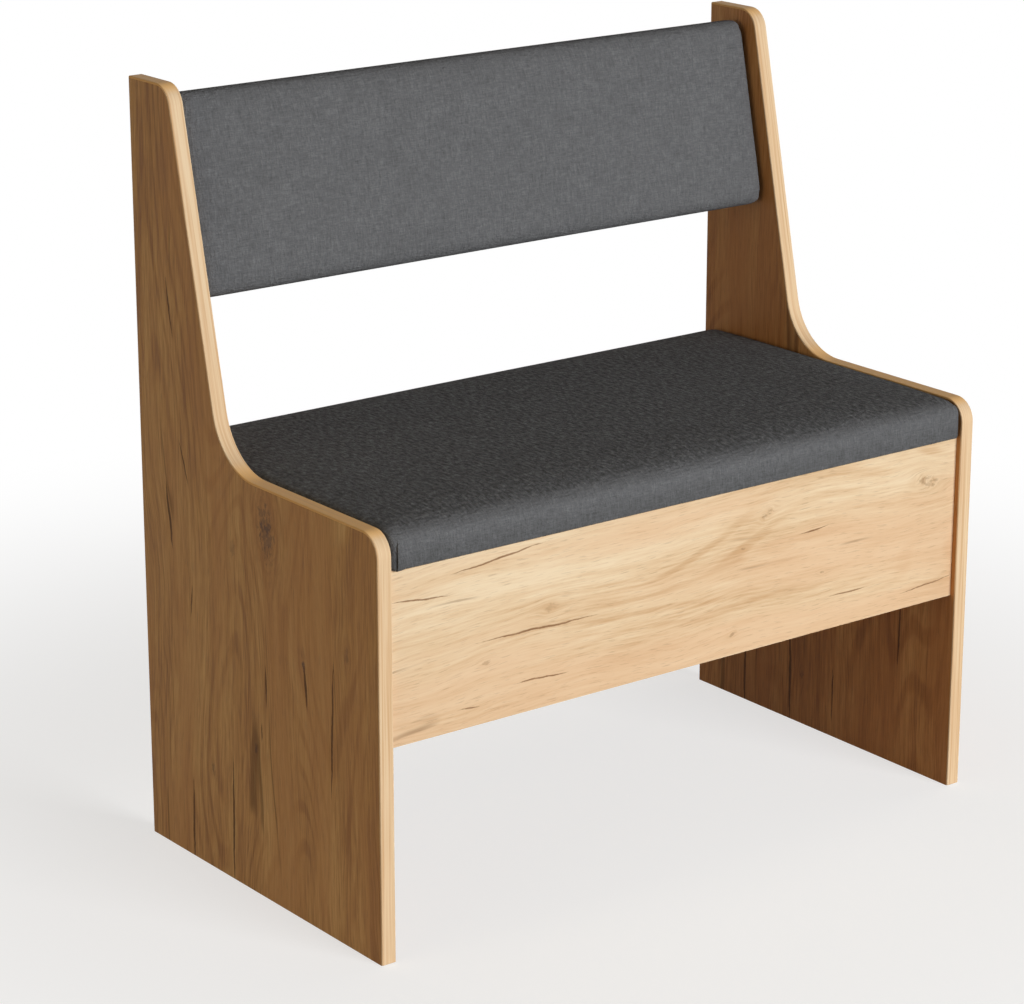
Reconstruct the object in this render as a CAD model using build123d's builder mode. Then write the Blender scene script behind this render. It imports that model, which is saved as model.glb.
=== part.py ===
from build123d import *
import os
from math import atan2, cos, degrees, sin, sqrt, tan

# Storage bench with a lift-up padded seat and a raked padded backrest.
# X runs along the width, the front faces -Y, +Z is up, the origin is on the floor
# under the middle of the bench. All sizes are in millimetres.

# Overall sizes
overall_width = 766.0
overall_depth = 415.0
overall_height = 800.0

# Boards of laminated chipboard and their edge bands
board_thickness = 16.0
band_thickness = 2.0
band_arris = 1.2
band_floor_gap = 0.5
thin_band = 1.0

# Outline of the side panels
arm_height = 432.5
top_depth = 70.0
shoulder_depth = 150.0
outer_corner_radius = 24.0
shoulder_radius = 70.0

# Chest under the seat
apron_setback = 7.5
apron_height = 176.0
rail_inset = 72.0
bottom_raise = 3.0

# Upholstery
cloth = 1.0
pad_board = 16.0
cloth_margin = 45.0
roll_ease = 1.0

# Seat pad, which is also the lid of the chest
seat_edge_thickness = 39.5
seat_crown = 3.0
seat_roll = 11.0
seat_side_gap = 3.0
seat_front_inset = 0.5
seat_rear_inset = 4.5

# Backrest pad, parallel to the raked edge of the side panels
back_height = 204.0
back_edge_thickness = 37.5
back_crown = 2.5
back_roll = 13.0
back_side_gap = 1.0
back_setback = 10.0
back_center_drop = 108.0

# Lid hinges
hinge_length = 50.0
hinge_spacing = 440.0
leaf_width = 30.0
leaf_thickness = 1.5
barrel_radius = 3.0
pin_radius = 1.5
knuckle_count = 5
knuckle_gap = 0.3
hinge_clearance = 0.3
pin_running_clearance = 0.05
leaf_screw_spread = 34.0
leaf_screw_reach = 20.0

# Corner brackets of the backrest
bracket_leg = 30.0
bracket_width = 15.0
bracket_thickness = 2.0
bracket_bend = 1.5
bracket_screw_reach = 20.0
bracket_edge_distance = 42.0

# Countersunk wood screws
screw_length = 13.0
screw_radius = 1.6
screw_head_radius = 3.0
screw_tip = 3.0
screw_clearance = 0.06
screw_tip_room = 0.5

# Cam locks, their bolts and the wood dowels of the chest
cam_radius = 7.5
cam_skin = 3.2
cam_distance = 34.0
cam_edge_distance = 42.0
cam_fit = 0.08
driver_slot_length = 8.0
driver_slot_width = 1.6
driver_slot_depth = 2.0
bolt_thread_radius = 2.5
bolt_thread_length = 11.0
bolt_flange_radius = 3.6
bolt_flange_height = 1.5
bolt_bore_room = 0.4
bolt_shaft_radius = 2.9
bolt_neck_radius = 1.7
bolt_neck_length = 4.0
bolt_head_radius = 3.2
bolt_head_length = 3.5
dowel_radius = 4.0
dowel_length = 30.0
dowel_panel_depth = 12.0
dowel_chamfer = 1.0
dowel_pitch = 32.0
dowel_end_room = 0.5
drill_fit = 0.05

# Places that follow from the sizes above
half_width = overall_width / 2
half_depth = overall_depth / 2
inner_half = half_width - board_thickness
front_edge = -half_depth
rear_edge = half_depth
shoulder_y = rear_edge - shoulder_depth
rake = atan2(shoulder_depth - top_depth, overall_height - arm_height)

seat_bottom = arm_height - seat_edge_thickness
seat_front = front_edge + seat_front_inset
seat_rear = rear_edge - seat_rear_inset
seat_width = 2 * (inner_half - seat_side_gap)
seat_depth = seat_rear - seat_front
seat_plane = Plane(origin=(0, (seat_front + seat_rear) / 2, seat_bottom))

apron_bottom = seat_bottom - apron_height
apron_front = front_edge + apron_setback
apron_back = apron_front + board_thickness
rail_rear = rear_edge - rail_inset
rail_front = rail_rear - board_thickness
rail_top = seat_bottom - leaf_thickness - hinge_clearance
bottom_under = apron_bottom + bottom_raise
hinge_y = rail_rear + hinge_clearance + barrel_radius
hinge_z = seat_bottom - hinge_clearance - barrel_radius

up_slope = Vector(0, sin(rake), cos(rake))
behind_slope = Vector(0, cos(rake), -sin(rake))
back_center_height = overall_height - back_center_drop
raked_y = shoulder_y + (back_center_height - arm_height) * tan(rake)
back_front_center = Vector(0, raked_y + back_setback / cos(rake), back_center_height)
back_origin = back_front_center + behind_slope * (back_edge_thickness + back_crown)
back_plane = Plane(origin=back_origin, x_dir=(1, 0, 0), z_dir=-behind_slope)
back_width = 2 * (inner_half - back_side_gap)
bracket_spread = back_height - 2 * bracket_edge_distance

cam_depth = board_thickness - cam_skin
sides = {"left": -1, "right": 1}

os.makedirs("parts", exist_ok=True)


def keep(piece, name):
    """Labels a finished piece and writes it under its own name."""
    piece.part.label = name
    export_step(piece.part, f"parts/{name}.step")


def side_outline(plane, inset):
    """Outline of a side panel, drawn in from its front and top edges by the inset."""
    slope_shift = inset / cos(rake)
    arm_z = arm_height - inset
    top_z = overall_height - inset
    front_y = front_edge + inset
    shoulder = (shoulder_y + slope_shift - inset * tan(rake), arm_z)
    top_front = (rear_edge - top_depth + slope_shift - inset * tan(rake), top_z)
    arm_front = (front_y, arm_z)
    with BuildSketch(plane) as outline:
        with BuildLine():
            Polyline(
                (rear_edge, 0),
                (front_y, 0),
                arm_front,
                shoulder,
                top_front,
                (rear_edge, top_z),
                close=True,
            )
        make_face()
        for corner in (arm_front, top_front):
            nearest = outline.vertices().sort_by_distance(corner)[0]
            fillet(nearest, outer_corner_radius - inset)
        nearest = outline.vertices().sort_by_distance(shoulder)[0]
        fillet(nearest, shoulder_radius + inset)
    return outline.sketch


def pad_form(plane, width, depth, thickness, crown, roll, shrink):
    """Padded board with a crowned top and rolled edges, drawn in on all sides by the shrink."""
    crown_radius = ((depth / 2) ** 2 + crown**2) / (2 * crown)
    crown_center = thickness + crown - crown_radius
    half_length = width / 2 - shrink
    half_span = depth / 2 - shrink
    apex = thickness + crown - shrink
    shoulder = crown_center + sqrt((crown_radius - shrink) ** 2 - half_span**2)
    end_origin = plane.origin - plane.x_dir * half_length
    end_plane = Plane(origin=end_origin, x_dir=plane.y_dir, z_dir=plane.x_dir)
    with BuildPart() as form:
        with BuildSketch(end_plane) as section:
            with BuildLine():
                Polyline(
                    (-half_span, shoulder),
                    (-half_span, shrink),
                    (half_span, shrink),
                    (half_span, shoulder),
                )
                ThreePointArc((-half_span, shoulder), (0, apex), (half_span, shoulder))
            make_face()
            fillet(section.vertices().group_by(Axis.Y)[-1], roll - shrink)
        extrude(amount=2 * half_length)
        base = plane.offset(shrink)
        end_edges = [
            edge
            for face in form.faces().filter_by(Axis(plane.origin, plane.x_dir))
            for edge in face.edges()
            if base.to_local_coords(edge.center()).Z > roll_ease
        ]
        fillet(end_edges, roll - roll_ease - shrink)
    return form.part


def seat_form(shrink):
    """Outer form of the seat pad, or the form under its cloth."""
    return pad_form(
        seat_plane,
        seat_width,
        seat_depth,
        seat_edge_thickness,
        seat_crown,
        seat_roll,
        shrink,
    )


def back_form(shrink):
    """Outer form of the backrest pad, or the form under its cloth."""
    return pad_form(
        back_plane,
        back_width,
        back_height,
        back_edge_thickness,
        back_crown,
        back_roll,
        shrink,
    )


def hinge_leaf(first_knuckle):
    """Leaf around a pin along X at the origin, its plate hanging down on the -Y side."""
    knuckle = hinge_length / knuckle_count
    plate_y = -(barrel_radius + hinge_clearance)
    plate_top = -(barrel_radius + knuckle_gap)
    bore = pin_radius + pin_running_clearance
    with BuildPart() as leaf:
        with BuildSketch(Plane.XZ.offset(-plate_y)):
            with Locations((0, plate_top)):
                Rectangle(hinge_length, leaf_width + plate_top, align=(Align.CENTER, Align.MAX))
        extrude(amount=-leaf_thickness)
        for number in range(first_knuckle, knuckle_count, 2):
            start = -hinge_length / 2 + number * knuckle + knuckle_gap / 2
            with BuildSketch(Plane.YZ.offset(start)):
                Circle(barrel_radius)
                with Locations((plate_y, plate_top)):
                    Rectangle(leaf_thickness, -plate_top, align=(Align.MIN, Align.MIN))
                Circle(bore, mode=Mode.SUBTRACT)
            extrude(amount=knuckle - knuckle_gap)
        screw_point = (0, plate_y + leaf_thickness, -leaf_screw_reach)
        with Locations(Plane(origin=screw_point, x_dir=(1, 0, 0), z_dir=(0, 1, 0))):
            with GridLocations(leaf_screw_spread, 0, 2, 1):
                CounterSinkHole(screw_radius + screw_clearance, screw_head_radius + screw_clearance)
    return leaf.part


def corner_bracket():
    """Angle with one leg along +X and one along +Y, its corner at the origin."""
    with BuildPart() as bracket:
        with BuildSketch(Plane.XY.offset(-bracket_width / 2)):
            Rectangle(bracket_leg, bracket_thickness, align=Align.MIN)
            Rectangle(bracket_thickness, bracket_leg, align=Align.MIN)
        extrude(amount=bracket_width)
        upright_edges = bracket.edges().filter_by(Axis.Z)
        inner_corner = Vector(bracket_thickness, bracket_thickness, 0)
        fillet(upright_edges.sort_by_distance(inner_corner)[0], bracket_bend)
        leg_faces = [
            Plane(origin=(bracket_screw_reach, bracket_thickness, 0), z_dir=(0, 1, 0)),
            Plane(origin=(bracket_thickness, bracket_screw_reach, 0), z_dir=(1, 0, 0)),
        ]
        with Locations(*leg_faces):
            CounterSinkHole(screw_radius + screw_clearance, screw_head_radius + screw_clearance)
    return bracket.part


def wood_screw():
    """Countersunk screw along Z with the top of its head at the origin."""
    head_depth = screw_head_radius - screw_radius
    with BuildPart() as screw:
        with BuildSketch(Plane.XZ):
            with BuildLine():
                Polyline(
                    (0, 0),
                    (screw_head_radius, 0),
                    (screw_radius, -head_depth),
                    (screw_radius, screw_tip - screw_length),
                    (0, -screw_length),
                    close=True,
                )
            make_face()
        revolve(axis=Axis.Z)
        driver_length = screw_head_radius
        with BuildSketch(Plane.XY):
            Rectangle(driver_length, driver_length / 4)
            Rectangle(driver_length / 4, driver_length)
        extrude(amount=-head_depth / 2, mode=Mode.SUBTRACT)
    return screw.part


def cam_housing():
    """Round cam lock under the XY plane, open towards +X for the head of its bolt."""
    bolt_depth = board_thickness / 2
    bore = bolt_head_radius + cam_fit
    with BuildPart() as housing:
        with BuildSketch(Plane.XY):
            Circle(cam_radius - cam_fit)
        extrude(amount=-cam_depth)
        with BuildSketch(Plane.XY):
            Rectangle(driver_slot_length, driver_slot_width)
            Rectangle(driver_slot_width, driver_slot_length)
        extrude(amount=-driver_slot_depth, mode=Mode.SUBTRACT)
        with BuildSketch(Plane.YZ.offset(-bolt_head_length)):
            with Locations((0, -bolt_depth)):
                Circle(bore)
        extrude(amount=cam_radius + bolt_head_length, mode=Mode.SUBTRACT)
    return housing.part


def cam_bolt():
    """Bolt along Z: its thread goes down into the panel, its head reaches the cam."""
    head_start = cam_distance
    neck_start = head_start - bolt_neck_length
    with BuildPart() as bolt:
        with BuildSketch(Plane.XZ):
            with BuildLine():
                Polyline(
                    (0, -bolt_thread_length),
                    (bolt_thread_radius, -bolt_thread_length),
                    (bolt_thread_radius, 0),
                    (bolt_flange_radius, 0),
                    (bolt_flange_radius, bolt_flange_height),
                    (bolt_shaft_radius, bolt_flange_height),
                    (bolt_shaft_radius, neck_start),
                    (bolt_neck_radius, neck_start),
                    (bolt_neck_radius, head_start),
                    (bolt_head_radius, head_start),
                    (bolt_head_radius, head_start + bolt_head_length),
                    (0, head_start + bolt_head_length),
                    close=True,
                )
            make_face()
        revolve(axis=Axis.Z)
    return bolt.part


def wood_dowel():
    """Dowel along Z, seated in the panel below the XY plane and in the board above it."""
    with BuildPart() as dowel:
        with BuildSketch(Plane.XY.offset(-dowel_panel_depth)):
            Circle(dowel_radius)
        extrude(amount=dowel_length)
        chamfer(dowel.edges().filter_by(GeomType.CIRCLE), dowel_chamfer)
    return dowel.part


def inner_face(side, y, z):
    """Plane on the inner face of a side panel, looking towards the other panel."""
    return Plane(origin=(side * inner_half, y, z), x_dir=(0, 1, 0), z_dir=(-side, 0, 0))


def board_end(side, y, z):
    """Plane on the end of a board that butts against a side panel, looking outwards."""
    return Plane(origin=(side * inner_half, y, z), x_dir=(0, 1, 0), z_dir=(side, 0, 0))


def cam_face(side, y, z, outward):
    """Plane of a cam lock on a board's face, its X pointing at the side panel."""
    cam_x = side * (inner_half - cam_distance)
    return Plane(origin=(cam_x, y, z), x_dir=(side, 0, 0), z_dir=outward)


def drill_board_ends(cam_points, dowel_points, cam_planes):
    """Bores for cams, bolts and dowels in the board that is being made."""
    for side in sides.values():
        with Locations(*[board_end(side, y, z) for y, z in cam_points]):
            Hole(bolt_flange_radius + bolt_bore_room, cam_distance)
        with Locations(*[board_end(side, y, z) for y, z in dowel_points]):
            Hole(dowel_radius + drill_fit, dowel_length - dowel_panel_depth + dowel_end_room)
    with Locations(*cam_planes):
        Hole(cam_radius, cam_depth)


# Places of the chest joints, as (y, z) points on the inner faces of the panels
apron_mid = (apron_front + apron_back) / 2
rail_mid = (rail_front + rail_rear) / 2
bottom_mid = bottom_under + board_thickness / 2
low_cam = apron_bottom + cam_edge_distance
high_cam = rail_top - cam_edge_distance
front_cam = apron_back + cam_edge_distance
back_cam = rail_front - cam_edge_distance
apron_cams = [(apron_mid, low_cam), (apron_mid, high_cam)]
apron_dowels = [(apron_mid, low_cam + dowel_pitch), (apron_mid, high_cam - dowel_pitch)]
rail_cams = [(rail_mid, low_cam), (rail_mid, high_cam)]
rail_dowels = [(rail_mid, low_cam + dowel_pitch), (rail_mid, high_cam - dowel_pitch)]
bottom_cams = [(front_cam, bottom_mid), (back_cam, bottom_mid)]
bottom_dowels = [(front_cam + dowel_pitch, bottom_mid), (back_cam - dowel_pitch, bottom_mid)]
all_cams = apron_cams + rail_cams + bottom_cams
all_dowels = apron_dowels + rail_dowels + bottom_dowels

apron_cam_planes = []
rail_cam_planes = []
bottom_cam_planes = []
bolt_planes = []
dowel_planes = []
for side in sides.values():
    apron_cam_planes += [cam_face(side, apron_back, z, (0, 1, 0)) for y, z in apron_cams]
    rail_cam_planes += [cam_face(side, rail_front, z, (0, -1, 0)) for y, z in rail_cams]
    bottom_cam_planes += [cam_face(side, y, bottom_under, (0, 0, -1)) for y, z in bottom_cams]
    bolt_planes += [inner_face(side, y, z) for y, z in all_cams]
    dowel_planes += [inner_face(side, y, z) for y, z in all_dowels]

# Places of the backrest brackets and of all wood screws, each on the top of its head
bracket_planes = {}
panel_screw_planes = {}
back_screw_planes = []
for side_name, side in sides.items():
    inward = Vector(-side, 0, 0)
    panel_screw_planes[side_name] = []
    for level, step in {"lower": -1, "upper": 1}.items():
        corner = back_origin + up_slope * (step * bracket_spread / 2) - inward * inner_half
        upright = inward.cross(behind_slope)
        bracket_planes[f"{level}_{side_name}"] = Plane(origin=corner, x_dir=inward, z_dir=upright)
        on_panel = corner + behind_slope * bracket_screw_reach + inward * bracket_thickness
        on_back = corner + inward * bracket_screw_reach + behind_slope * bracket_thickness
        panel_screw_planes[side_name].append(Plane(origin=on_panel, z_dir=inward))
        back_screw_planes.append(Plane(origin=on_back, x_dir=(1, 0, 0), z_dir=behind_slope))

hinge_planes = {}
seat_screw_planes = []
rail_screw_planes = []
for side_name, side in sides.items():
    hinge_x = side * hinge_spacing / 2
    hinge_planes[side_name] = (hinge_x, hinge_y, hinge_z)
    for step in (-1, 1):
        screw_x = hinge_x + step * leaf_screw_spread / 2
        under_seat = (screw_x, hinge_y - leaf_screw_reach, seat_bottom - leaf_thickness)
        behind_rail = (screw_x, rail_rear + leaf_thickness, hinge_z - leaf_screw_reach)
        seat_screw_planes.append(Plane(origin=under_seat, x_dir=(1, 0, 0), z_dir=(0, 0, -1)))
        rail_screw_planes.append(Plane(origin=behind_rail, x_dir=(1, 0, 0), z_dir=(0, 1, 0)))

pilot_radius = screw_radius + screw_clearance
pilot_depth = screw_length + screw_tip_room

# Side panels: a blank with rounded arrises, split into the board and its edge band
for side_name, side in sides.items():
    outer_plane = Plane.YZ.offset(min(side * half_width, side * inner_half))
    with BuildPart() as blank:
        extrude(side_outline(outer_plane, 0), amount=board_thickness)
        arrises = [
            edge
            for face in blank.faces().filter_by(Axis.X)
            for edge in face.edges()
            if edge.center().Y < rear_edge - band_arris and edge.center().Z > band_arris
        ]
        fillet(arrises, band_arris)

    with BuildPart() as side_panel:
        extrude(side_outline(outer_plane, band_thickness), amount=board_thickness)
        with Locations(*[inner_face(side, y, z) for y, z in all_cams]):
            Hole(bolt_thread_radius + drill_fit, bolt_thread_length + dowel_end_room)
        with Locations(*[inner_face(side, y, z) for y, z in all_dowels]):
            Hole(dowel_radius + drill_fit, dowel_panel_depth + dowel_end_room)
        with Locations(*panel_screw_planes[side_name]):
            Hole(pilot_radius, pilot_depth)
    keep(side_panel, f"{side_name}_side_panel")

    with BuildPart() as edge_band:
        add(blank.part)
        extrude(side_outline(outer_plane, band_thickness), amount=board_thickness, mode=Mode.SUBTRACT)
        split(bisect_by=Plane.XY.offset(band_floor_gap), keep=Keep.TOP)
    keep(edge_band, f"{side_name}_edge_band")

# Front apron with a thin band along its upper and lower edge
with BuildPart() as front_apron:
    with BuildSketch(Plane.XY.offset(apron_bottom + thin_band)):
        with Locations((0, apron_mid)):
            Rectangle(2 * inner_half, board_thickness)
    extrude(amount=apron_height - 2 * thin_band)
    drill_board_ends(apron_cams, apron_dowels, apron_cam_planes)
keep(front_apron, "front_apron")

with BuildPart() as apron_bands:
    for band_z in (apron_bottom, seat_bottom - thin_band):
        with BuildSketch(Plane.XY.offset(band_z)):
            with Locations((0, apron_mid)):
                Rectangle(2 * inner_half, board_thickness)
        extrude(amount=thin_band)
keep(apron_bands, "front_apron_edge_bands")

# Rear rail, the back wall of the chest
with BuildPart() as rear_rail:
    with BuildSketch(Plane.XY.offset(apron_bottom + thin_band)):
        with Locations((0, rail_mid)):
            Rectangle(2 * inner_half, board_thickness)
    extrude(amount=rail_top - apron_bottom - 2 * thin_band)
    drill_board_ends(rail_cams, rail_dowels, rail_cam_planes)
    with Locations(*rail_screw_planes):
        Hole(pilot_radius, pilot_depth)
keep(rear_rail, "rear_rail")

with BuildPart() as rail_bands:
    for band_z in (apron_bottom, rail_top - thin_band):
        with BuildSketch(Plane.XY.offset(band_z)):
            with Locations((0, rail_mid)):
                Rectangle(2 * inner_half, board_thickness)
        extrude(amount=thin_band)
keep(rail_bands, "rear_rail_edge_bands")

# Floor of the chest
with BuildPart() as storage_bottom:
    with BuildSketch(Plane.XY.offset(bottom_under)):
        with Locations((0, apron_back)):
            Rectangle(2 * inner_half, rail_front - apron_back, align=(Align.CENTER, Align.MIN))
    extrude(amount=board_thickness)
    drill_board_ends(bottom_cams, bottom_dowels, bottom_cam_planes)
keep(storage_bottom, "storage_bottom")

# Knock-down fittings of the chest
cam_groups = {
    "apron_cam_locks": apron_cam_planes,
    "rail_cam_locks": rail_cam_planes,
    "bottom_cam_locks": bottom_cam_planes,
}
cam_lock = cam_housing()
for group_name, planes in cam_groups.items():
    with BuildPart() as cam_locks:
        with Locations(*planes):
            add(cam_lock)
    keep(cam_locks, group_name)

bolt = cam_bolt()
with BuildPart() as cam_bolts:
    with Locations(*bolt_planes):
        add(bolt)
keep(cam_bolts, "cam_bolts")

dowel = wood_dowel()
with BuildPart() as wood_dowels:
    with Locations(*dowel_planes):
        add(dowel)
keep(wood_dowels, "wood_dowels")

# Seat pad: board, foam and a cover that is turned under the board
seat_inner = seat_form(cloth)
seat_board_top = Plane.XY.offset(seat_bottom + cloth + pad_board)

with BuildPart() as seat_board:
    add(seat_inner)
    split(bisect_by=seat_board_top, keep=Keep.BOTTOM)
    with Locations(*seat_screw_planes):
        Hole(pilot_radius, pilot_depth)
keep(seat_board, "seat_board")

with BuildPart() as seat_foam:
    add(seat_inner)
    split(bisect_by=seat_board_top, keep=Keep.TOP)
keep(seat_foam, "seat_foam")

with BuildPart() as seat_cover:
    add(seat_form(0))
    add(seat_inner, mode=Mode.SUBTRACT)
    with BuildSketch(seat_plane):
        Rectangle(seat_width - 2 * cloth_margin, seat_depth - 2 * cloth_margin)
    extrude(amount=cloth, mode=Mode.SUBTRACT)
    with Locations(*seat_screw_planes):
        Hole(pilot_radius, pilot_depth)
keep(seat_cover, "seat_cover")

# Backrest pad, built like the seat
back_inner = back_form(cloth)
back_board_front = back_plane.offset(cloth + pad_board)

with BuildPart() as backrest_board:
    add(back_inner)
    split(bisect_by=back_board_front, keep=Keep.BOTTOM)
    with Locations(*back_screw_planes):
        Hole(pilot_radius, pilot_depth)
keep(backrest_board, "backrest_board")

with BuildPart() as backrest_foam:
    add(back_inner)
    split(bisect_by=back_board_front, keep=Keep.TOP)
keep(backrest_foam, "backrest_foam")

with BuildPart() as backrest_cover:
    add(back_form(0))
    add(back_inner, mode=Mode.SUBTRACT)
    with BuildSketch(back_plane):
        Rectangle(back_width - 2 * cloth_margin, back_height - 2 * cloth_margin)
    extrude(amount=cloth, mode=Mode.SUBTRACT)
    with Locations(*back_screw_planes):
        Hole(pilot_radius, pilot_depth)
keep(backrest_cover, "backrest_cover")

# Corner brackets that hold the backrest to the side panels
angle = corner_bracket()
for bracket_name, plane in bracket_planes.items():
    with BuildPart() as bracket:
        with Locations(plane):
            add(angle)
    keep(bracket, f"{bracket_name}_backrest_bracket")

screw = wood_screw()
with BuildPart() as bracket_screws:
    with Locations(*back_screw_planes, *panel_screw_planes["left"], *panel_screw_planes["right"]):
        add(screw)
keep(bracket_screws, "backrest_bracket_screws")

# Lid hinges: the fixed leaf on the rail, the moving leaf under the seat, one pin each
fixed_leaf = hinge_leaf(0)
moving_leaf = hinge_leaf(1)
for side_name, hinge_point in hinge_planes.items():
    with BuildPart() as rail_leaf:
        with Locations(Plane(origin=hinge_point)):
            add(fixed_leaf)
    keep(rail_leaf, f"{side_name}_hinge_rail_leaf")

    with BuildPart() as seat_leaf:
        with Locations(Plane(origin=hinge_point, x_dir=(1, 0, 0), z_dir=(0, 1, 0))):
            add(moving_leaf)
    keep(seat_leaf, f"{side_name}_hinge_seat_leaf")

    pin_start = Plane.YZ.offset(hinge_point[0] - hinge_length / 2)
    with BuildPart() as hinge_pin:
        with BuildSketch(pin_start):
            with Locations((hinge_y, hinge_z)):
                Circle(pin_radius)
        extrude(amount=hinge_length)
    keep(hinge_pin, f"{side_name}_hinge_pin")

with BuildPart() as rail_hinge_screws:
    with Locations(*rail_screw_planes):
        add(screw)
keep(rail_hinge_screws, "hinge_rail_screws")

with BuildPart() as seat_hinge_screws:
    with Locations(*seat_screw_planes):
        add(screw)
keep(seat_hinge_screws, "hinge_seat_screws")

print(f"rake of the backrest: {degrees(rake):.2f} degrees")
print(f"hinge axis at y {hinge_y:.2f}, z {hinge_z:.2f}")
print(f"backrest front centre at y {back_front_center.Y:.2f}, z {back_front_center.Z:.2f}")
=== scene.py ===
# %% [markdown]
# # A storage bench with a padded lid
# The bench has two side panels in an oak look, a deep apron, a padded seat that lifts as a lid and a
# padded raked backrest. The measured solids come from the CAD model and stay where they are. This lesson
# gives them their finishes, and makes the two upholstered pads and their staples, which the solids only
# stand in for.

# %% Load the measured bench
import math

import bmesh
import bpy
import numpy as np
from mathutils import Matrix, Vector
from mathutils.bvhtree import BVHTree


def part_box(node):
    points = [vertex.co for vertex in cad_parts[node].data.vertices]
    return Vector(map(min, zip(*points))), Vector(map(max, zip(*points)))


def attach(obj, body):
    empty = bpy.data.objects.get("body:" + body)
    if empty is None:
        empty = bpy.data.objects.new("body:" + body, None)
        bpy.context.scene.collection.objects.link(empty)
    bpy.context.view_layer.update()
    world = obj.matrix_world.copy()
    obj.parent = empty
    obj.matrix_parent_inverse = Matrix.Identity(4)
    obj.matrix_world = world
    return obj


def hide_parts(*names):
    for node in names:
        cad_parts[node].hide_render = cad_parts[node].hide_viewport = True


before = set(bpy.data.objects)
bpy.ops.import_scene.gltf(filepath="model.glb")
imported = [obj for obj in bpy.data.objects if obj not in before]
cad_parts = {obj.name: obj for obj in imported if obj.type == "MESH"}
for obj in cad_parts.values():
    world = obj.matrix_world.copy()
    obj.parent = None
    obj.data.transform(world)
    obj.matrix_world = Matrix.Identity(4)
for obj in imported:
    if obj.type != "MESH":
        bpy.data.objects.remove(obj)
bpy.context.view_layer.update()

# %% [markdown]
# ## Camera
# The photo was taken from the front left, a little above the bench, with a long lens. The place, the
# turn and the lens were fitted to the corners of the panels. A camera could also track an empty, but two
# angles say the same and are easy to read.

# %% Camera
camera_turn = math.radians(37.325)
camera_drop = math.radians(17.453)
camera_aim = Vector((
    math.sin(camera_turn) * math.cos(camera_drop),
    math.cos(camera_turn) * math.cos(camera_drop),
    -math.sin(camera_drop),
))
camera = bpy.data.objects.new("camera", bpy.data.cameras.new("camera"))
camera.data.sensor_width = 36.0
camera.data.lens = 118.35
camera.location = (-2.0670, -2.6203, 1.3903)
camera.rotation_euler = camera_aim.to_track_quat("-Z", "Y").to_euler()
bpy.context.scene.collection.objects.link(camera)
bpy.context.scene.camera = camera
bpy.context.scene.view_settings.view_transform = "Standard"
print("camera at", tuple(round(part, 3) for part in camera.location))

# %% [markdown]
# ## Shader sums as Python
# Every finish here is a sum of noises and masks. Math nodes could be placed one by one, but a sum is
# easier to read as Python. The class wraps a socket, and plus, minus, times and divide add the Math
# node. All other nodes come from one method, which takes the type, then the settings, then the sockets.


# %% Sockets that can be added and multiplied
class Reading:
    """One output socket. A sum or product with it adds a Math node."""

    def __init__(self, finish, socket):
        self.finish = finish
        self.socket = socket

    def math(self, operation, first, second=0.0):
        return self.finish.node("ShaderNodeMath", {"operation": operation}, {0: first, 1: second})

    def __add__(self, other):
        return self.math("ADD", self, other)

    def __radd__(self, other):
        return self.math("ADD", other, self)

    def __sub__(self, other):
        return self.math("SUBTRACT", self, other)

    def __rsub__(self, other):
        return self.math("SUBTRACT", other, self)

    def __mul__(self, other):
        return self.math("MULTIPLY", self, other)

    def __rmul__(self, other):
        return self.math("MULTIPLY", other, self)

    def __truediv__(self, other):
        return self.math("DIVIDE", self, other)

    def __abs__(self):
        return self.math("ABSOLUTE", self)


print("a Reading adds a Math node for each sum and product")

# %% [markdown]
# ## One method for every node
# A finish is a material or a world. Its node method sets up any node, and the short methods below it
# name the few kinds that the finishes share: stretched noise, an eased step, a colour ramp, a mix and
# the object's axes.


# %% Nodes of a finish
class Finish:
    """A material or a world, and the nodes that are added to it."""

    def __init__(self, owner):
        owner.use_nodes = True
        self.owner = owner
        self.tree = owner.node_tree
        self.shader = self.tree.nodes.get("Principled BSDF")

    def node(self, kind, settings=None, sockets=None, output=0):
        made = self.tree.nodes.new(kind)
        for name, value in (settings or {}).items():
            if name == "stops":
                while len(made.color_ramp.elements) < len(value):
                    made.color_ramp.elements.new(1.0)
                for stop, (position, colour) in zip(made.color_ramp.elements, value):
                    stop.position = position
                    stop.color = colour
            else:
                setattr(made, name, value)
        for name, value in (sockets or {}).items():
            self.feed(made.inputs[name], value)
        return Reading(self, made.outputs[output])

    def feed(self, socket, value):
        if isinstance(value, Reading):
            self.tree.links.new(value.socket, socket)
        else:
            socket.default_value = value

    def place(self, x, y, z):
        return self.node("ShaderNodeCombineXYZ", {}, {0: x, 1: y, 2: z})

    def noise(self, place, detail=2.0, roughness=0.5):
        sockets = {"Vector": place, "Scale": 1.0, "Detail": detail, "Roughness": roughness}
        return self.node("ShaderNodeTexNoise", {"noise_dimensions": "3D"}, sockets)

    def ease(self, value, low, high):
        sockets = {"Value": value, "From Min": low, "From Max": high}
        return self.node("ShaderNodeMapRange", {"interpolation_type": "SMOOTHSTEP"}, sockets)

    def ramp(self, value, stops):
        return self.node("ShaderNodeValToRGB", {"stops": stops}, {"Fac": value})

    def mix(self, share, first, second):
        return self.node("ShaderNodeMix", {"data_type": "RGBA"}, {0: share, 6: first, 7: second}, output=2)

    def axes(self):
        point = self.node("ShaderNodeTexCoord", {}, {}, output=3)
        return [self.node("ShaderNodeSeparateXYZ", {}, {0: point}, output=part) for part in range(3)]

    def wear(self, base, roughness, height=None, strength=0.2, step=0.0005):
        self.feed(self.shader.inputs["Base Color"], base)
        self.feed(self.shader.inputs["Roughness"], roughness)
        if height is not None:
            sockets = {"Strength": strength, "Distance": step, "Height": height}
            self.feed(self.shader.inputs["Normal"], self.node("ShaderNodeBump", {}, sockets))


def new_finish(name):
    return Finish(bpy.data.materials.new(name))


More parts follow.
